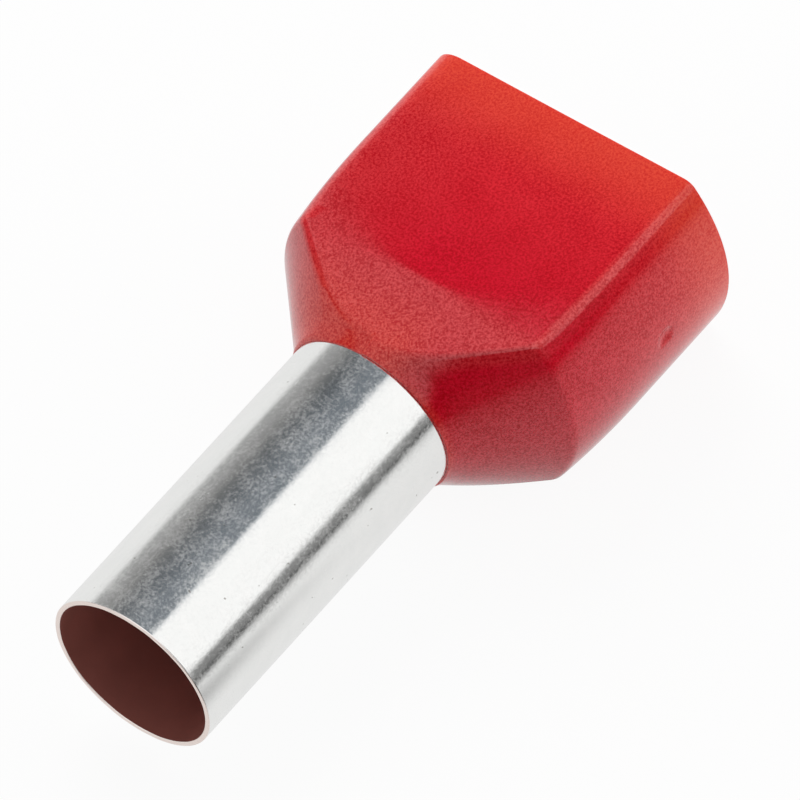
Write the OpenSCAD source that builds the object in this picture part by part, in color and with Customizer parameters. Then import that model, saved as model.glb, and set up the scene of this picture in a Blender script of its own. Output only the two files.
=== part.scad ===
// Insulated wire ferrule with a wide collar for two conductors of 10 mm2 each.
// A thin drawn tube takes both stripped conductors and is crimped on them.
// A moulded collar grips the tube's belled end and funnels the insulated wires into it.
//
// X runs along the tube towards the collar's mouth, Y across the two wires and Z up.
// The ferrule lies on one flat of its collar, with the origin under the middle of its
// length. Lengths are in millimetres and angles in degrees.

/* [Crimp tube] */
// Bore of the tube
tube_bore_d = 6.5; // [5.8:0.1:6.6]
// Wall of the tube
tube_wall = 0.2; // [0.15:0.05:0.3]
// Bare length of the tube, from its open end to the collar's neck
tube_bare_l = 13.9; // [10:0.1:18]
// Straight length of the tube that the collar grips
tube_grip_l = 3; // [2.5:0.1:3.5]
// Length of the bell at the tube's inner end
bell_l = 0.6; // [0.3:0.1:0.8]
// Growth of the tube's radius along the bell
bell_rise = 0.2; // [0.1:0.05:0.3]

/* [Collar] */
// Width of the cavity, across both insulated wires
cavity_w = 12.1; // [11:0.1:14]
// Height of the cavity, between its two flats
cavity_h = 6.6; // [6.6:0.1:7.6]
// Wall of the collar round the cavity
collar_wall = 0.75; // [0.6:0.05:1]
// Length of the collar, from its neck to its mouth
collar_l = 12.4; // [10:0.1:15]
// Wall of the neck round the tube
neck_wall = 0.2; // [0.15:0.05:0.3]
// Gap between the tube and its seat in the collar
seat_gap = 0.01; // [0.01:0.01:0.03]
// Slope of the funnel that leads from the cavity down to the tube
funnel_slope = 45; // [35:1:50]

/* [Shoulder] */
// Straight length of the neck, before the shoulder widens
neck_land_l = 0.35; // [0.1:0.05:0.5]
// Slope of the shoulder's rounded sides against the tube's axis
side_slope = 42.5; // [38:0.5:48]
// Radius of the long arc on which the body's rounded sides bow in towards the shoulder
side_bow_r = 34; // [30:1:90]
// Distance from the neck to the start of that arc
side_bow_from = 7.6; // [6:0.1:9]
// Radius that blends the bowed sides into the sloping ones
side_blend_r = 0.6; // [0.5:0.1:2.5]
// Distance from the neck to the upper edge of each dished front
front_run = 4.1; // [3.5:0.1:5]

/* [Edges and marks] */
// Radius along the ridges between the flats and the rounded sides
ridge_r = 0.25; // [0.1:0.05:0.5]
// Radius in the corners of the cavity
cavity_corner_r = 0.8; // [0.4:0.1:1.2]
// Width of the dimple that the mould's gate leaves on one side
gate_d = 0.9; // [0.6:0.1:1.4]
// Depth of the gate dimple
gate_depth = 0.12; // [0.05:0.01:0.2]
// Distance of the gate dimple from the mouth
gate_from_mouth = 3.8; // [2:0.1:5]

/* [Hidden] */
$fn = 96;

// Overlap of a cutting tool past the face that it opens
cut = 0.5;
// Height by which a rounding stands proud of the faces it joins, so that it crosses them
// cleanly instead of only touching them
proud = 0.002;
// Length by which the bow runs on over the straight part of the body
lap = 0.1;
// Height at which the fronts leave the neck, over its top
front_lift = 0.02;

// The tube: radii, and places along the axis from the tube's open end
tube_in_r = tube_bore_d / 2;
tube_out_r = tube_in_r + tube_wall;
neck_x = tube_bare_l;
bell_x = neck_x + tube_grip_l;
tube_end_x = bell_x + bell_l;
mouth_x = neck_x + collar_l;

// The collar: outside radii and half thickness
body_r = cavity_w / 2 + collar_wall;
flat_z = cavity_h / 2 + collar_wall;
neck_r = tube_out_r + seat_gap + neck_wall;

// Side profile of the shoulder, as [X, radius]: a straight slope, a blend arc and the bow.
// The blend's centre lies blend_inset inside the slope and inside the bow.
blend_inset = side_blend_r - proud;
bow_x = neck_x + side_bow_from;
bow_centre = [bow_x, body_r + proud - side_bow_r];
slope_along = [cos(side_slope), sin(side_slope)];
slope_inward = [sin(side_slope), -cos(side_slope)];
slope_start = [neck_x + neck_land_l, neck_r];
inset_start = slope_start + blend_inset * slope_inward;
inset_bow_r = side_bow_r - blend_inset;
start_from_bow = inset_start - bow_centre;
start_lead = start_from_bow * slope_along;
slope_run = sqrt(start_lead * start_lead - start_from_bow * start_from_bow
    + inset_bow_r * inset_bow_r) - start_lead;
blend_centre = inset_start + slope_run * slope_along;
slope_end = blend_centre - blend_inset * slope_inward;
bow_end = bow_centre + (blend_centre - bow_centre) * side_bow_r / inset_bow_r;

// Each front is dished: it leaves the neck level and rises to the flat on an arc, which
// is swept round an upright axis so that its upper edge is an arc too. The axis stands
// behind the neck, clear of the arc's own circle.
axis_clearance = 1;
front_foot_z = neck_r + front_lift;
front_rise = flat_z - front_foot_z;
dish_r = (front_run * front_run + front_rise * front_rise) / (2 * front_rise);
dish_x = dish_r + axis_clearance;
front_axis_x = neck_x - dish_x;
front_reach = mouth_x - front_axis_x + body_r;

// Turns what stands along Z so that it lies along X, starting on the +Y side
module along_x() {
    rotate([90, 0, 90]) children();
}

// Moves what is drawn from the tube's open end to the part's own frame
module lying_on_flat() {
    translate([-mouth_x / 2, 0, flat_z]) children();
}

// Two flats and the four rounded ridges along which they meet a cylinder of radius r.
// The cylinder itself isn't drawn: whatever is cut with the slab brings its own.
module ridged_section(r, half_h, corner_r) {
    corner_y = half_h - corner_r + proud;
    corner_x = sqrt(pow(r - corner_r + proud, 2) - pow(corner_y, 2));
    intersection() {
        square([4 * r, 2 * half_h], center = true);
        union() {
            square([2 * corner_x, 4 * half_h], center = true);
            for (side = [-1, 1]) {
                polygon([
                    [0, 0],
                    [side * 2 * corner_x, 2 * corner_y],
                    [side * 2 * corner_x, -2 * corner_y]
                ]);
                for (end = [-1, 1])
                    translate([side * corner_x, end * corner_y]) circle(corner_r);
            }
        }
    }
}

// Slab with that section, from x0 to x1
module ridged_slab(r, half_h, corner_r, x0, x1) {
    translate([x0, 0, 0])
        along_x()
            linear_extrude(x1 - x0) ridged_section(r, half_h, corner_r);
}

// A point [X, radius] in a profile that is turned round X
function turned(p) = [p[1], p[0]];

// Neck, sloping sides and bowed, rounded sides as one turned profile
module turned_sides() {
    along_x()
        rotate_extrude() {
            polygon([
                [0, neck_x],
                [neck_r, neck_x],
                turned(slope_start),
                turned(slope_end),
                turned(blend_centre),
                [neck_r, bow_x],
                [body_r, bow_x],
                [body_r, mouth_x],
                [0, mouth_x]
            ]);
            translate(turned(blend_centre)) circle(side_blend_r);
            intersection() {
                translate(turned(bow_centre)) circle(side_bow_r, $fn = 720);
                translate([0, bow_end[0]]) square([body_r, bow_x + lap - bow_end[0]]);
            }
        }
}

// Both flats and both dished fronts, turned round the upright axis
module dished_fronts() {
    translate([front_axis_x, 0, 0])
        rotate([0, 0, 180])
            rotate_extrude()
                difference() {
                    translate([0, -flat_z]) square([front_reach, 2 * flat_z]);
                    for (side = [-1, 1])
                        translate([dish_x, side * (front_foot_z + dish_r)])
                            circle(dish_r, $fn = 360);
                }
}

// Outer form: what the slab, the turned sides and the dished fronts have in common
module collar_outside() {
    intersection() {
        ridged_slab(body_r, flat_z, ridge_r, neck_x - cut, mouth_x + cut);
        turned_sides();
        dished_fronts();
    }
}

// Seat of the tube: a bore that opens into a cone round the bell
module tube_seat() {
    seat_r = tube_out_r + seat_gap;
    along_x()
        rotate_extrude()
            polygon([
                [0, neck_x - cut],
                [seat_r, neck_x - cut],
                [seat_r, bell_x],
                [seat_r + bell_rise, tube_end_x],
                [0, tube_end_x]
            ]);
}

// Cavity for the insulated wires, narrowed by a funnel that runs on inside the bell
module wire_cavity() {
    cavity_r = cavity_w / 2;
    funnel_r = tube_in_r + bell_rise;
    funnel_l = (cavity_r - funnel_r) / tan(funnel_slope);
    intersection() {
        ridged_slab(cavity_r, cavity_h / 2, cavity_corner_r, neck_x, mouth_x + 2 * cut);
        along_x()
            rotate_extrude()
                polygon([
                    [0, bell_x],
                    [tube_in_r, bell_x],
                    [funnel_r, tube_end_x],
                    [cavity_r, tube_end_x + funnel_l],
                    [cavity_r, mouth_x + cut],
                    [0, mouth_x + cut]
                ]);
    }
}

// Shallow round dimple on the -Y side, at half height
module gate_dimple() {
    ball_r = (gate_d * gate_d / 4 + gate_depth * gate_depth) / (2 * gate_depth);
    translate([mouth_x - gate_from_mouth, gate_depth - body_r - ball_r, 0])
        sphere(ball_r);
}

module insulating_collar() {
    color("crimson")
        lying_on_flat()
            difference() {
                collar_outside();
                tube_seat();
                wire_cavity();
                gate_dimple();
            }
}

// Drawn tube, open at both ends and belled at the end inside the collar
module crimp_tube() {
    color("silver")
        lying_on_flat()
            along_x()
                rotate_extrude()
                    polygon([
                        [tube_in_r, 0],
                        [tube_out_r, 0],
                        [tube_out_r, bell_x],
                        [tube_out_r + bell_rise, tube_end_x],
                        [tube_in_r + bell_rise, tube_end_x],
                        [tube_in_r, bell_x]
                    ]);
}

insulating_collar();
crimp_tube();
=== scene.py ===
import math

import bpy
import numpy as np
from mathutils import Matrix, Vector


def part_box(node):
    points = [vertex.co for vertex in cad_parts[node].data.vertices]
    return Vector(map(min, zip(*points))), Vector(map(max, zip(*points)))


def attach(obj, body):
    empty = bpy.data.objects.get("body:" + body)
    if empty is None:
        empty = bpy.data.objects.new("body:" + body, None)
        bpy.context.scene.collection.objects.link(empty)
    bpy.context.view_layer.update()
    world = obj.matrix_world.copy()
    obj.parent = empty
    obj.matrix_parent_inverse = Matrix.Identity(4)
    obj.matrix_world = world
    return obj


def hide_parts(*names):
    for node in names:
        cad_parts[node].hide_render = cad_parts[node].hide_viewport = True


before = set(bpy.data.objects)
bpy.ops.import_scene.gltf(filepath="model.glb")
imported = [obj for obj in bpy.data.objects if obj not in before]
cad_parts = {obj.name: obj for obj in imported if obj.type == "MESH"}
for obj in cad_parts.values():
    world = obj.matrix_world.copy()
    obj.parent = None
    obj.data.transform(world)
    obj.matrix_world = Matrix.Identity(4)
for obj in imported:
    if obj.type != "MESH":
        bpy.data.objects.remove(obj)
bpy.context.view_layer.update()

# An insulated wire ferrule: a moulded collar over a tin-plated tube. Shapes are worked
# out in millimetres from the tube's axis, X towards the collar's mouth, and each mesh is
# turned into metres and lifted onto the frame as it is made.

collar_low, collar_high = (corner * 1000 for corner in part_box("insulating_collar"))
tube_low, tube_high = (corner * 1000 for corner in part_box("crimp_tube"))

# Places along the axis, and the body's reach from it
OPEN_X = tube_low.x
TUBE_END_X = tube_high.x
NECK_X = collar_low.x
MOUTH_X = collar_high.x
FLAT_Z = (collar_high.z - collar_low.z) / 2
BODY_R = collar_high.y
AXIS_Z = FLAT_Z

# Crimp tube, with the rounding and the burr of its cut rim
TUBE_WALL = 0.2
BELL_L = 0.6
BELL_RISE = 0.2
TUBE_OUT_R = tube_high.y - BELL_RISE
TUBE_IN_R = TUBE_OUT_R - TUBE_WALL
BELL_X = TUBE_END_X - BELL_L
RIM_EDGE = 0.05
BURR = 0.012
BURR_REACH = 0.6

# Collar: neck, lip round the tube, walls, and the roundings of its two end edges
SEAT_R = TUBE_OUT_R + 0.01
NECK_R = SEAT_R + 0.2
LIP_R = TUBE_OUT_R + 0.06
LIP_FLARE = 0.3
COLLAR_WALL = 0.75
CAVITY_R = BODY_R - COLLAR_WALL
CAVITY_Z = FLAT_Z - COLLAR_WALL
MOUTH_EDGE = 0.07
NECK_EDGE = 0.03

# Shoulder: the sloping sides start past the neck's land, and the bow ends at BOW_X
NECK_LAND_L = 0.35
SIDE_SLOPE = math.radians(42.5)
BOW_R = 34.0
BOW_X = NECK_X + 7.6
BLEND_R = 0.6
SIDE_FULLNESS = 0.98

# Gate dimple on the -Y side, and the shallow sink of each flat over the funnel
GATE_X = MOUTH_X - 3.8
GATE_R = 0.45
GATE_DEPTH = 0.12
GATE_BALL_R = (GATE_R ** 2 + GATE_DEPTH ** 2) / (2 * GATE_DEPTH)
SINK_X = NECK_X + 5.0
SINK_DEPTH = 0.03
SINK_REACH = (1.3, 1.8)

# The blend arc's centre lies one blend radius inside the slope and inside the bow
ALONG = np.array([math.cos(SIDE_SLOPE), math.sin(SIDE_SLOPE)])
INWARD = np.array([math.sin(SIDE_SLOPE), -math.cos(SIDE_SLOPE)])
BOW_CENTRE = np.array([BOW_X, BODY_R - BOW_R])
SLOPE_START = np.array([NECK_X + NECK_LAND_L, NECK_R])
inset_from_bow = SLOPE_START + BLEND_R * INWARD - BOW_CENTRE
lead = inset_from_bow @ ALONG
slope_run = math.sqrt(lead ** 2 - inset_from_bow @ inset_from_bow
                      + (BOW_R - BLEND_R) ** 2) - lead
BLEND_CENTRE = SLOPE_START + BLEND_R * INWARD + slope_run * ALONG
SLOPE_END_X = (BLEND_CENTRE - BLEND_R * INWARD)[0]
BOW_END_X = (BOW_CENTRE + (BLEND_CENTRE - BOW_CENTRE) * BOW_R / (BOW_R - BLEND_R))[0]

# Each front climbs from the neck to the flat, swept round an upright axis behind the neck
FRONT_RUN = 3.75
FRONT_FOOT_Z = NECK_R + 0.02
FRONT_RISE = FLAT_Z - FRONT_FOOT_Z
SWEEP_R = 24.0
ARCH_L = 0.8


# ---------------------------------------------------------------- shapes

def smooth_max(a, b, width):
    """The larger of a and b, rounded where they differ by less than width."""
    near = np.maximum(width - np.abs(a - b), 0.0) / width
    return np.maximum(a, b) + near * near * width / 4


def smooth_min(a, b, width):
    """The smaller of a and b, rounded where they differ by less than width."""
    return -smooth_max(-a, -b, width)


def side_radius(x):
    """Radius of the turned sides at x: a thin lip that flares gently and runs into the
    straight slope, then the blend arc, the bow and the cylinder."""
    lip = LIP_R + LIP_FLARE * (x - NECK_X)
    slope = smooth_max(lip, NECK_R + (x - SLOPE_START[0]) * math.tan(SIDE_SLOPE), 0.3)
    blend = BLEND_CENTRE[1] + np.sqrt(
        np.maximum(BLEND_R ** 2 - (x - BLEND_CENTRE[0]) ** 2, 0.0))
    bow = BOW_CENTRE[1] + np.sqrt(BOW_R ** 2 - np.minimum(x - BOW_X, 0.0) ** 2)
    radius = np.where(x < SLOPE_END_X, slope, np.where(x < BOW_END_X, blend, bow))
    return np.minimum(radius, BODY_R)


def outer_field(x, y, z):
    """Below zero inside the collar's outer form, above it outside.

    It is the largest of the distances past the turned sides, the flats and the fronts,
    rounded by its own width along each crease, less the ball of the gate dimple. Each
    flat sinks a little over the funnel, where the wall is thickest. Each front climbs on
    a curve that is a quarter square and three quarters straight, and is arched round the
    tube only beside the neck. The crease between front and flat softens away from the
    middle, and the creases of the +Y side are twice as soft as those of the -Y side.
    """
    radius = np.hypot(y, SIDE_FULLNESS * z)
    fade = np.clip((x - SLOPE_END_X) / (BOW_END_X - SLOPE_END_X), 0.0, 1.0)
    steep = math.cos(SIDE_SLOPE) * (1 - fade) + fade
    sides = (radius - side_radius(x)) * steep
    sink = SINK_DEPTH * np.exp(-((x - SINK_X) / SINK_REACH[0]) ** 2 - (y / SINK_REACH[1]) ** 2)
    flats = np.abs(z) - FLAT_Z + sink
    climb = (np.hypot(x - NECK_X + SWEEP_R, y) - SWEEP_R) / FRONT_RUN
    climb = 0.75 * climb + 0.25 * climb * np.abs(climb)
    arched = np.clip(1 - (x - NECK_X) / ARCH_L, 0.0, 1.0) * y
    fronts = np.hypot(arched, z) - FRONT_FOOT_Z - FRONT_RISE * climb
    upper_crease = 0.03 + 0.55 * np.clip(np.abs(y) / 5.0, 0.0, 1.0) ** 2
    field = smooth_max(flats, fronts, upper_crease)
    side_crease = np.interp(x, [NECK_X + 0.6, NECK_X + 1.5, NECK_X + 3.3, NECK_X + 4.3],
                            [0.25, 0.10, 0.10, 0.26]) * np.where(y > 0, 2.0, 1.0)
    field = smooth_max(sides, field, side_crease)
    ball_y = GATE_DEPTH - BODY_R - GATE_BALL_R
    ball = GATE_BALL_R - np.sqrt((x - GATE_X) ** 2 + (y - ball_y) ** 2 + z ** 2)
    return smooth_max(field, ball, 0.02)


def outer_radius(x, angle):
    """Distance from the axis to the outer form, found by halving a bracket 40 times."""
    low = np.full(np.broadcast(x, angle).shape, 1.0)
    high = np.full(low.shape, BODY_R + 1.0)
    for _ in range(40):
        middle = (low + high) / 2
        inside = outer_field(x, middle * np.cos(angle), middle * np.sin(angle)) < 0
        low = np.where(inside, middle, low)
        high = np.where(inside, high, middle)
    return low


def outer_normal(x, y, z):
    """Unit gradient of the outer field, from central differences."""
    step = 0.01
    slope = np.stack([
        outer_field(x + step, y, z) - outer_field(x - step, y, z),
        outer_field(x, y + step, z) - outer_field(x, y - step, z),
        outer_field(x, y, z + step) - outer_field(x, y, z - step),
    ], axis=-1)
    return slope / np.linalg.norm(slope, axis=-1, keepdims=True)


def crowded(low, high, count, places, spread, weight):
    """count values from low to high, closer together round each of the places."""
    fine = np.linspace(low, high, 4001)
    density = 1.0 + sum(weight * np.exp(-((fine - p) / spread) ** 2) for p in places)
    total = np.concatenate([[0.0], np.cumsum((density[1:] + density[:-1]) / 2)])
    return np.interp(np.linspace(0.0, total[-1], count), total, fine)


def grid_faces(rows, columns, close_rows):
    """Quads of a grid whose columns wrap round, and whose rows may wrap round too."""
    last = rows if close_rows else rows - 1
    i, j = np.meshgrid(np.arange(last), np.arange(columns), indexing="ij")
    up = (i + 1) % rows
    right = (j + 1) % columns
    quads = [i * columns + j, i * columns + right, up * columns + right, up * columns + j]
    return np.stack(quads, axis=-1).reshape(-1, 4)


def add_piece(name, points, faces, materials):
    """A smooth mesh piece, from points in millimetres round the tube's axis."""
    mesh = bpy.data.meshes.new(name)
    placed = (points.reshape(-1, 3) + [0.0, 0.0, AXIS_Z]) / 1000
    mesh.vertices.add(len(placed))
    mesh.vertices.foreach_set("co", placed.astype(np.float32).ravel())
    mesh.loops.add(faces.size)
    mesh.loops.foreach_set("vertex_index", faces.astype(np.int32).ravel())
    mesh.polygons.add(len(faces))
    mesh.polygons.foreach_set("loop_start", np.arange(0, faces.size, 4, dtype=np.int32))
    mesh.polygons.foreach_set("use_smooth", np.ones(len(faces), bool))
    mesh.update(calc_edges=True)
    mesh.validate()
    for material in materials:
        mesh.materials.append(material)
    piece = bpy.data.objects.new(name, mesh)
    bpy.context.scene.collection.objects.link(piece)
    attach(piece, "root")
    return piece


# ---------------------------------------------------------------- node helpers

class Nodes:
    """Short calls that add and join the nodes of one material or world. A value that they
    take is a plain number or colour, or the output socket of another node."""

    def __init__(self, owner):
        owner.use_nodes = True
        self.tree = owner.node_tree
        self.tree.nodes.clear()

    def add(self, kind, **settings):
        node = self.tree.nodes.new(kind)
        for key, value in settings.items():
            setattr(node, key, value)
        return node

    def put(self, socket, value):
        if isinstance(value, bpy.types.NodeSocket):
            self.tree.links.new(value, socket)
        else:
            socket.default_value = value

    def math(self, operation, *values):
        node = self.add("ShaderNodeMath", operation=operation)
        for socket, value in zip(node.inputs, values):
            self.put(socket, value)
        return node.outputs[0]

    def ramp(self, value, low, high, to_low=0.0, to_high=1.0, smooth=True):
        """The value's place between low and high, drawn out from to_low to to_high."""
        node = self.add("ShaderNodeMapRange",
                        interpolation_type="SMOOTHSTEP" if smooth else "LINEAR")
        for socket, given in zip(node.inputs, (value, low, high, to_low, to_high)):
            self.put(socket, given)
        return node.outputs[0]

    def mix(self, factor, a, b):
        node = self.add("ShaderNodeMix", data_type="RGBA")
        self.put(node.inputs[0], factor)
        self.put(node.inputs[6], a)
        self.put(node.inputs[7], b)
        return node.outputs[2]

    def noise(self, place, scale, detail=2.0, roughness=0.5):
        node = self.add("ShaderNodeTexNoise")
        for key, value in (("Vector", place), ("Scale", scale), ("Detail", detail),
                           ("Roughness", roughness)):
            self.put(node.inputs[key], value)
        return node.outputs[0]

    def product(self, first, *others):
        """All the values multiplied, from left to right."""
        for other in others:
            first = self.math("MULTIPLY", first, other)
        return first

    def split(self, vector):
        """The X, Y and Z of a vector."""
        node = self.add("ShaderNodeSeparateXYZ")
        self.put(node.inputs[0], vector)
        return node.outputs

    def millimetres(self, along=1000.0):
        """Object coordinates in millimetres. Less than 1000 along X draws a pattern out."""
        where = self.add("ShaderNodeTexCoord")
        mapping = self.add("ShaderNodeMapping")
        self.put(mapping.inputs["Vector"], where.outputs["Object"])
        self.put(mapping.inputs["Scale"], (along, 1000.0, 1000.0))
        return mapping.outputs[0]

    def bump(self, height, distance, strength):
        node = self.add("ShaderNodeBump")
        for key, value in (("Height", height), ("Distance", distance), ("Strength", strength)):
            self.put(node.inputs[key], value)
        return node.outputs[0]

    def principled(self, **settings):
        node = self.add("ShaderNodeBsdfPrincipled")
        for key, value in settings.items():
            self.put(node.inputs[key.replace("_", " ")], value)
        return node.outputs[0]

    def surface(self, shader, kind="ShaderNodeOutputMaterial"):
        self.put(self.add(kind).inputs["Surface"], shader)


# ---------------------------------------------------------------- materials

# Reds of the collar, for the light and the dark flecks of its grain, with painted glow,
# painted highlight and painted sheen in some of them
PLAIN_LIGHT, PLAIN_DARK = (0.71, 0.003, 0.023, 1), (0.45, 0.0003, 0.007, 1)
# Painted glow: the thin pair is a paler orange that stands for light shining through the thin
# wall near the mouth
THIN_GLOW_LIGHT, THIN_GLOW_DARK = (0.80, 0.027, 0.032, 1), (0.52, 0.002, 0.010, 1)
# Painted highlight: the ridge pair is a paler pink that stands for light caught along the
# rounded ridges
RIDGE_HIGHLIGHT_LIGHT, RIDGE_HIGHLIGHT_DARK = (0.88, 0.105, 0.100, 1), (0.68, 0.030, 0.036, 1)
# Painted glow: the rim pair is a brighter orange that stands for light shining through the
# wall at the mouth's edge
RIM_GLOW_LIGHT, RIM_GLOW_DARK = (0.84, 0.074, 0.038, 1), (0.70, 0.032, 0.022, 1)
# Painted glow: the neck pair is a paler orange that stands for light shining through the thin
# neck
NECK_GLOW_LIGHT, NECK_GLOW_DARK = (0.82, 0.090, 0.040, 1), (0.60, 0.016, 0.012, 1)
# Painted sheen: a paler red that stands for the sheen on the fronts and the light falling on
# the +Y side
PAINTED_SHEEN_LIGHT = (0.70, 0.050, 0.050, 1)

# Colours of the tube: plating, its pits, the cut rim, and the bare copper of the bore
TIN_DULL, TIN_BRIGHT = (0.93, 0.935, 0.92, 1), (0.965, 0.965, 0.95, 1)
PIT_GREY = (0.50, 0.49, 0.46, 1)
CUT_COPPER = (0.90, 0.79, 0.74, 1)
BORE_DARK, BORE_LIGHT = (0.26, 0.080, 0.062, 1), (0.38, 0.115, 0.090, 1)


def collar_material():
    """Moulded red plastic with a fine grain of light and dark flecks.

    A painted orange glow stands for light through the thin wall at the mouth and the neck.
    A painted highlight lies along the ridges, and a faint painted sheen on the fronts and the
    +Y side.
    """
    material = bpy.data.materials.new("moulded_red_plastic")
    n = Nodes(material)
    place = n.millimetres()
    along, across, height = n.split(place)
    off_axis = n.math("ABSOLUTE", n.math("SUBTRACT", height, AXIS_Z))

    # Painted glow of light through the thin wall, growing towards the mouth
    thin = n.ramp(along, MOUTH_X - 7.4, MOUTH_X - 1.2, smooth=False)
    # Painted glow at the mouth's edge
    rim = n.ramp(along, MOUTH_X - 3.6, MOUTH_X + 0.3)
    # Painted glow at the neck: round its end, and further up the neck on all but its -Y side,
    # where the light falls
    neck_top_glow = n.product(n.ramp(along, NECK_X + 3.6, NECK_X, 0.0, 0.56),
                         n.ramp(across, -2.7, -0.8))
    neck = n.math("MAXIMUM", n.ramp(along, NECK_X + 0.35, NECK_X, 0.0, 0.35), neck_top_glow)
    front = n.product(n.ramp(off_axis, 3.2, 3.6), n.ramp(along, NECK_X + 4.0, NECK_X + 3.2))
    # Painted sheen on the fronts, and a painted lighter +Y side
    painted_sheen = n.math("MAXIMUM", n.ramp(across, 0.5, 5.5, 0.0, 0.6, smooth=False),
                   n.product(front, 0.45))

    # The ridges lie at the body's full radius, less what the bow takes off it, and carry a
    # painted highlight
    bow = n.math("MAXIMUM", n.math("SUBTRACT", BOW_X, along), 0.0)
    reach = n.math("SQRT", n.math("ADD", n.product(across, across),
                                  n.product(off_axis, off_axis)))
    reach = n.math("ADD", reach, n.math("DIVIDE", n.product(bow, bow), 2 * BOW_R))
    ridge = n.product(n.ramp(reach, BODY_R - 0.18, BODY_R - 0.04, 0.0, 0.5),
                      n.ramp(off_axis, FLAT_Z - 0.33, FLAT_Z - 0.15))

    light = n.mix(thin, PLAIN_LIGHT, THIN_GLOW_LIGHT)
    light = n.mix(painted_sheen, light, PAINTED_SHEEN_LIGHT)
    light = n.mix(ridge, light, RIDGE_HIGHLIGHT_LIGHT)
    light = n.mix(rim, light, RIM_GLOW_LIGHT)
    light = n.mix(neck, light, NECK_GLOW_LIGHT)
    dark = n.mix(thin, PLAIN_DARK, THIN_GLOW_DARK)
    dark = n.mix(ridge, dark, RIDGE_HIGHLIGHT_DARK)
    dark = n.mix(rim, dark, RIM_GLOW_DARK)
    dark = n.mix(neck, dark, NECK_GLOW_DARK)

    grain = n.noise(place, 10.5, detail=4.0, roughness=0.8)
    cloud = n.noise(place, 0.6, detail=3.0, roughness=0.6)
    fleck = n.ramp(n.math("ADD", grain, n.product(cloud, 0.12)), 0.47, 0.64, smooth=False)
    n.surface(n.principled(
        Base_Color=n.mix(fleck, dark, light), Roughness=0.12, IOR=1.52,
        Specular_IOR_Level=n.ramp(fleck, 0.0, 1.0, 0.28, 0.72, smooth=False),
        Normal=n.bump(grain, 0.00002, strength=0.05),
        Subsurface_Weight=0.15, Subsurface_Scale=1.0,
        Subsurface_Radius=(0.0005, 0.0001, 0.00008)))
    return material


def tube_material():
    """Bright tin plating with a frosty mottle, long faint scratches and small pits, and
    with a trace of copper on the cut rim."""
    material = bpy.data.materials.new("tin_plating")
    n = Nodes(material)
    place = n.millimetres()
    along = n.split(place)[0]
    mottle = n.noise(place, 1.1, detail=4.0, roughness=0.7)
    frost = n.noise(place, 9.0, detail=3.0, roughness=0.7)
    haze = n.noise(n.millimetres(along=250.0), 1.6, detail=3.0, roughness=0.6)
    pit = n.ramp(n.noise(place, 4.5, detail=1.0), 0.76, 0.82)
    fleck = n.ramp(n.math("ADD", frost, n.product(mottle, 0.6)), 0.68, 0.98)
    scratch = n.ramp(n.noise(n.millimetres(along=70.0), 3.2, detail=1.0), 0.70, 0.76)
    cut = n.ramp(along, OPEN_X + 0.07, OPEN_X + 0.02)

    colour = n.mix(n.ramp(mottle, 0.3, 0.7), TIN_DULL, TIN_BRIGHT)
    colour = n.mix(pit, colour, PIT_GREY)
    colour = n.mix(cut, colour, CUT_COPPER)
    roughness = n.math("ADD", n.ramp(haze, 0.35, 0.75, 0.10, 0.17, smooth=False),
                       n.product(n.math("MAXIMUM", fleck, scratch), 0.12))
    roughness = n.math("ADD", roughness, n.product(cut, 0.2))
    n.surface(n.principled(Base_Color=colour, Metallic=1.0, Roughness=roughness,
                           Normal=n.bump(frost, 0.00001, strength=0.16)))
    return material


def bore_material():
    """Dull red-brown copper inside the tube, a little cloudy."""
    material = bpy.data.materials.new("dull_copper_bore")
    n = Nodes(material)
    cloud = n.noise(n.millimetres(), 0.8, detail=3.0)
    n.surface(n.principled(Base_Color=n.mix(cloud, BORE_DARK, BORE_LIGHT), Metallic=0.0,
                           Roughness=n.ramp(cloud, 0.3, 0.7, 0.55, 0.7, smooth=False)))
    return material


# ---------------------------------------------------------------- pieces

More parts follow.
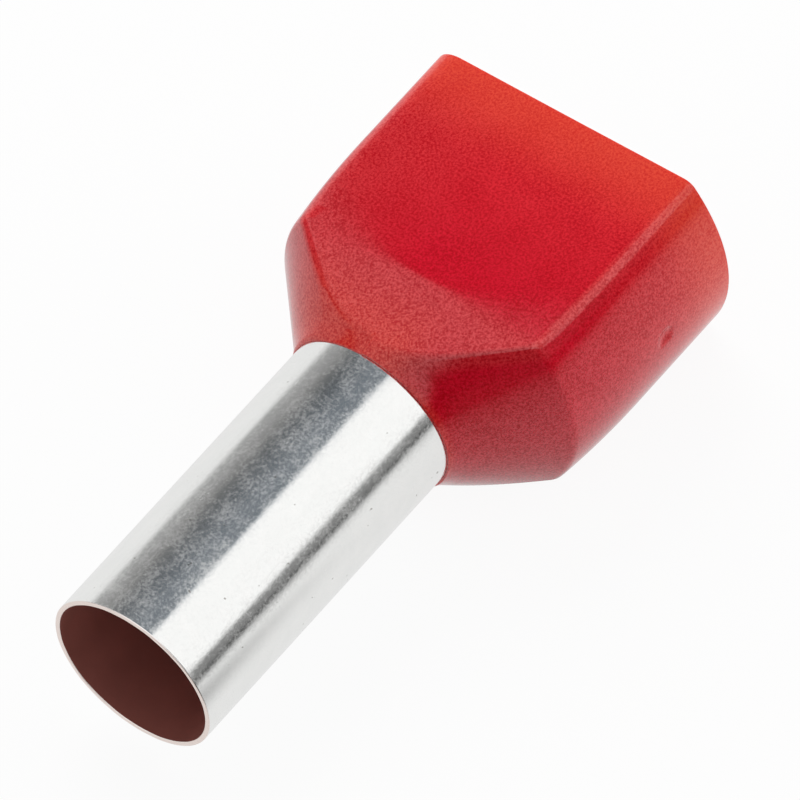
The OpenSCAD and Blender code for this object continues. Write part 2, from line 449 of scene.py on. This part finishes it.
def build_collar():
    """The collar as one closed grid: its rows follow the wall once round, from the neck
    over the outer form to the mouth and back through the cavity, funnel and seat."""
    ridge = math.asin(FLAT_Z / BODY_R)
    corners = [ridge, math.pi - ridge, math.pi + ridge, 2 * math.pi - ridge]
    angle = crowded(0.0, 2 * math.pi, 321, corners, 0.09, 2.0)[:-1]
    outer_x = np.concatenate([
        crowded(NECK_X + NECK_EDGE, BOW_END_X + 1.0, 130, [BOW_END_X], 0.6, 1.0),
        crowded(BOW_END_X + 1.0, MOUTH_X - MOUTH_EDGE, 71, [GATE_X], 0.6, 3.0)[1:],
    ])
    outer_r = outer_radius(outer_x[:, None], angle[None, :])
    mouth_r = outer_r[-1]
    neck_r = outer_r[0]

    def cavity(x):
        """Radius inside at x: a 45 degree funnel, cut by two flats and a cylinder."""
        flat = np.minimum(CAVITY_Z / np.maximum(np.abs(np.sin(angle)), 1e-6), 40.0)
        inside = smooth_min(flat, np.full_like(flat, CAVITY_R), 0.5)
        return smooth_min(inside, np.full_like(flat, TUBE_OUT_R + x - TUBE_END_X), 0.15)

    rows = list(zip(outer_x, outer_r))
    for turn in np.radians([30, 60, 90]):
        rows.append((MOUTH_X - MOUTH_EDGE * (1 - math.sin(turn)),
                     mouth_r - MOUTH_EDGE * (1 - math.cos(turn))))
    inner_mouth = cavity(MOUTH_X)
    for share in (0.33, 0.66):
        rows.append((MOUTH_X, (mouth_r - MOUTH_EDGE) * (1 - share)
                     + (inner_mouth + MOUTH_EDGE) * share))
    for turn in np.radians([0, 30, 60, 90]):
        rows.append((MOUTH_X - MOUTH_EDGE * (1 - math.cos(turn)),
                     inner_mouth + MOUTH_EDGE * (1 - math.sin(turn))))
    for x in np.concatenate([np.linspace(MOUTH_X - 0.4, TUBE_END_X + 2.8, 12),
                             np.linspace(TUBE_END_X + 2.6, TUBE_END_X + 0.03, 14)]):
        rows.append((x, cavity(x)))
    for x, r in (
        (TUBE_END_X, TUBE_OUT_R + 0.03), (TUBE_END_X, SEAT_R + BELL_RISE - 0.03),
        (TUBE_END_X - 0.03, SEAT_R + BELL_RISE - 0.01), (BELL_X + 0.05, SEAT_R + 0.017),
        (BELL_X - 0.05, SEAT_R), ((BELL_X + NECK_X) / 2, SEAT_R), (NECK_X + 0.3, SEAT_R),
        (NECK_X + 0.2, TUBE_OUT_R + 0.002), (NECK_X + 0.01, TUBE_OUT_R + 0.002),
    ):
        rows.append((x, np.full_like(angle, r)))
    for turn in np.radians([0, 30, 60]):
        rows.append((NECK_X + NECK_EDGE * (1 - math.cos(turn)),
                     neck_r - NECK_EDGE * (1 - math.sin(turn))))

    x = np.array([row[0] for row in rows])[:, None] * np.ones_like(angle)[None, :]
    r = np.stack([row[1] for row in rows])
    points = np.stack([x, r * np.cos(angle), r * np.sin(angle)], axis=-1)
    faces = grid_faces(len(rows), len(angle), close_rows=True)
    piece = add_piece("collar_shell", points, faces, [collar_material()])
    # The outer form takes the field's own normals; zeros leave the other rows as they are
    normals = np.zeros_like(points)
    count = len(outer_x)
    normals[:count] = outer_normal(*np.moveaxis(points[:count], -1, 0))
    piece.data.normals_split_custom_set_from_vertices(normals.reshape(-1, 3))
    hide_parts("insulating_collar")
    return piece


def build_tube():
    """The tube as one closed grid, its wall followed once round: rim, outside, bell and
    bore. The cut rim is rounded, and its burr adds three sine waves round the tube."""
    angle = np.linspace(0.0, 2 * math.pi, 257)[:-1]
    burr = BURR * (1 + np.sin(3 * angle + 0.6) * 0.5 + np.sin(11 * angle) * 0.2
                   + np.sin(23 * angle + 2.0) * 0.15)
    rim_turns = np.radians([0, 22, 45, 67, 90])
    along = np.concatenate([[OPEN_X + RIM_EDGE + 0.01, OPEN_X + 0.15],
                            np.linspace(OPEN_X + 0.5, BELL_X - 0.06, 46)])
    rows = [(OPEN_X + RIM_EDGE * (1 - math.sin(turn)),
             TUBE_OUT_R - RIM_EDGE * (1 - math.cos(turn))) for turn in rim_turns[::-1]]
    rows += [(x, TUBE_OUT_R) for x in along]
    rows += [(BELL_X + 0.06, TUBE_OUT_R + 0.02),
             (TUBE_END_X - 0.03, TUBE_OUT_R + BELL_RISE - 0.01),
             (TUBE_END_X, TUBE_OUT_R + BELL_RISE - 0.02),
             (TUBE_END_X, TUBE_IN_R + BELL_RISE + 0.02),
             (TUBE_END_X - 0.03, TUBE_IN_R + BELL_RISE - 0.01),
             (BELL_X + 0.06, TUBE_IN_R + 0.02)]
    rows += [(x, TUBE_IN_R) for x in along[::-1]]
    rows += [(OPEN_X + RIM_EDGE * (1 - math.sin(turn)),
              TUBE_IN_R + RIM_EDGE * (1 - math.cos(turn))) for turn in rim_turns]
    x = np.array([row[0] for row in rows])
    r = np.array([row[1] for row in rows])
    rim = np.clip(1 - (x - OPEN_X) / BURR_REACH, 0.0, 1.0)
    points = np.stack([
        x[:, None] + rim[:, None] * burr[None, :],
        r[:, None] * np.cos(angle)[None, :],
        r[:, None] * np.sin(angle)[None, :],
    ], axis=-1)
    faces = grid_faces(len(rows), len(angle), close_rows=True)
    piece = add_piece("tinned_tube", points, faces, [tube_material(), bore_material()])
    # The bore's faces, from just past the rounded rim, are bare copper
    row = faces[:, 0] // len(angle)
    inside = (r[row] < TUBE_IN_R + 0.012) & (x[row] > OPEN_X + 0.04)
    piece.data.polygons.foreach_set("material_index", inside.astype(np.int32))
    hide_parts("crimp_tube")
    return piece


# ---------------------------------------------------------------- studio

WHITE = (1, 1, 1, 1)
COOL_WHITE = (0.86, 0.97, 1.10, 1)
FLOOR_GREY = (0.85, 0.85, 0.85, 1)
FLOOR_HALF = 1.5
FLOOR_Z = -0.00002
CAMERA_PLACE = (-0.250866, -0.246423, 0.454112)
CAMERA_VIEW = (0.4420, 0.4301, -0.7872)
CAMERA_UP = (0.6623, 0.4354, 0.6098)


def build_world():
    """White for the camera and a soft, plain level for matt surfaces.

    Gloss sees a white room with a dark panel overhead on the mouth's side, dark beams
    across the middle of the room on both sides, and a dark wall in front of the neck.
    """
    world = bpy.data.worlds.new("studio")
    bpy.context.scene.world = world
    world.cycles.sampling_method = "NONE"
    n = Nodes(world)
    x, y, z = n.split(n.add("ShaderNodeTexCoord").outputs["Generated"])

    def by_lean(start, end, to_low=0.0, to_high=1.0):
        """Ramp over the lean from straight up towards -Y, between two angles in degrees."""
        return n.ramp(lean, math.radians(start), math.radians(end), to_low, to_high)

    def dimmed(level, part, share):
        """The level, brought down to a share of itself where part is 1."""
        return n.product(level, n.ramp(part, 0.0, 1.0, 1.0, share, smooth=False))

    lean = n.math("ARCTAN2", n.product(y, -1.0), z)
    panel = n.product(by_lean(-80, -72), by_lean(16.5, 13), n.ramp(x, 0.350, 0.385))
    shade = n.math("MAXIMUM", by_lean(-72, -30, 0.34, 0.11), by_lean(-26, 0, 0.11, 0.19))
    open_level = n.ramp(y, 0.30, 0.62, 1.0, 0.82)
    level = n.math("ADD", n.product(panel, shade),
                   n.product(n.math("SUBTRACT", 1.0, panel), open_level))

    towards_neck = n.math("ADD", n.product(x, -0.35), n.product(y, -0.94))
    wall = n.product(n.ramp(towards_neck, 0.25, 0.6), n.ramp(z, 0.21, 0.14))
    deep_wall = n.product(n.ramp(x, 0.0, -0.5), n.ramp(z, 0.42, 0.2),
                          n.ramp(towards_neck, 0.1, 0.5))
    beam = n.product(n.ramp(n.math("ABSOLUTE", x), 0.27, 0.20),
                     n.ramp(z, 0.22, 0.32), n.ramp(z, 0.88, 0.76))
    for part, share in ((beam, 0.25), (wall, 0.22), (deep_wall, 0.08)):
        level = dimmed(level, part, share)

    path = n.add("ShaderNodeLightPath")
    glossy = path.outputs["Is Glossy Ray"]
    camera = path.outputs["Is Camera Ray"]
    soft = n.product(n.math("SUBTRACT", 1.0, glossy),
                     n.ramp(x, -1.0, 1.0, 0.35, 0.80, smooth=False))
    lit = n.math("ADD", n.product(glossy, level), soft)
    background = n.add("ShaderNodeBackground")
    n.put(background.inputs["Color"],
          n.mix(n.product(panel, glossy, by_lean(-50, -20)), WHITE, COOL_WHITE))
    n.put(background.inputs["Strength"],
          n.math("ADD", camera, n.product(n.math("SUBTRACT", 1.0, camera), lit)))
    n.surface(background.outputs[0], "ShaderNodeOutputWorld")


def build_floor():
    """A plain pale floor, nearly white to the camera and with a soft shadow. In
    reflections it grows dark far off, in front and to the left."""
    mesh = bpy.data.meshes.new("floor")
    corners = [(-FLOOR_HALF, -FLOOR_HALF, 0), (FLOOR_HALF, -FLOOR_HALF, 0),
               (FLOOR_HALF, FLOOR_HALF, 0), (-FLOOR_HALF, FLOOR_HALF, 0)]
    mesh.from_pydata(corners, [], [(0, 1, 2, 3)])
    floor = bpy.data.objects.new("floor", mesh)
    bpy.context.scene.collection.objects.link(floor)
    floor.location.z = FLOOR_Z
    material = bpy.data.materials.new("pale_floor")
    material.cycles.emission_sampling = "NONE"
    n = Nodes(material)
    path = n.add("ShaderNodeLightPath")
    glossy = path.outputs["Is Glossy Ray"]
    camera = path.outputs["Is Camera Ray"]
    x, y, _ = n.split(n.millimetres())
    to_left = n.product(n.math("MAXIMUM", n.product(x, -3.0), 0.0), n.ramp(y, -6.0, -14.0))
    to_front = n.math("MAXIMUM", n.product(y, -0.55), 0.0)
    mirrored = n.product(n.ramp(to_left, 0.0, 50.0, 0.82, 0.04, smooth=False),
                         n.ramp(to_front, 10.0, 45.0, 1.0, 0.0), glossy)

    diffuse = n.add("ShaderNodeBsdfDiffuse")
    n.put(diffuse.inputs["Color"], FLOOR_GREY)
    white = n.add("ShaderNodeEmission")
    n.put(white.inputs["Color"], WHITE)
    n.put(white.inputs["Strength"], n.math("MAXIMUM", mirrored, camera))
    blend = n.add("ShaderNodeMixShader")
    n.put(blend.inputs[0], n.product(n.math("MAXIMUM", camera, glossy), 0.93))
    n.put(blend.inputs[1], diffuse.outputs[0])
    n.put(blend.inputs[2], white.outputs[0])
    n.surface(blend.outputs[0])
    mesh.materials.append(material)


def aim(direction, up):
    """Rotation that looks along direction, with up as near to the given way as it can be."""
    z = -np.array(direction, float) / np.linalg.norm(direction)
    x = np.cross(np.array(up, float), z)
    x /= np.linalg.norm(x)
    return Matrix(np.stack([x, np.cross(z, x), z], axis=1).tolist()).to_4x4()


def add_lamp(name, direction, distance, size, energy):
    """A soft square lamp that shines at the part from direction, unseen in reflections."""
    data = bpy.data.lights.new(name, "AREA")
    data.shape = "SQUARE"
    data.size = size
    data.energy = energy
    lamp = bpy.data.objects.new(name, data)
    bpy.context.scene.collection.objects.link(lamp)
    way = np.array(direction, float) / np.linalg.norm(direction)
    lamp.matrix_world = Matrix.Translation((way * distance).tolist()) @ aim(-way, (1, 0, 0))
    lamp.visible_glossy = False
    return lamp


def build_camera():
    """A long lens, far off and above the open end of the tube."""
    data = bpy.data.cameras.new("camera")
    data.lens = 720
    data.sensor_width = 36
    data.clip_end = 10
    camera = bpy.data.objects.new("camera", data)
    bpy.context.scene.collection.objects.link(camera)
    camera.matrix_world = Matrix.Translation(CAMERA_PLACE) @ aim(CAMERA_VIEW, CAMERA_UP)
    bpy.context.scene.camera = camera


build_collar()
build_tube()
build_world()
build_floor()
add_lamp("key", direction=(0.52, 0.56, 0.64), distance=0.30, size=0.22, energy=0.52)
add_lamp("side", direction=(0.68, -0.70, 0.22), distance=0.30, size=0.22, energy=0.24)
build_camera()
bpy.context.scene.view_settings.view_transform = "Standard"
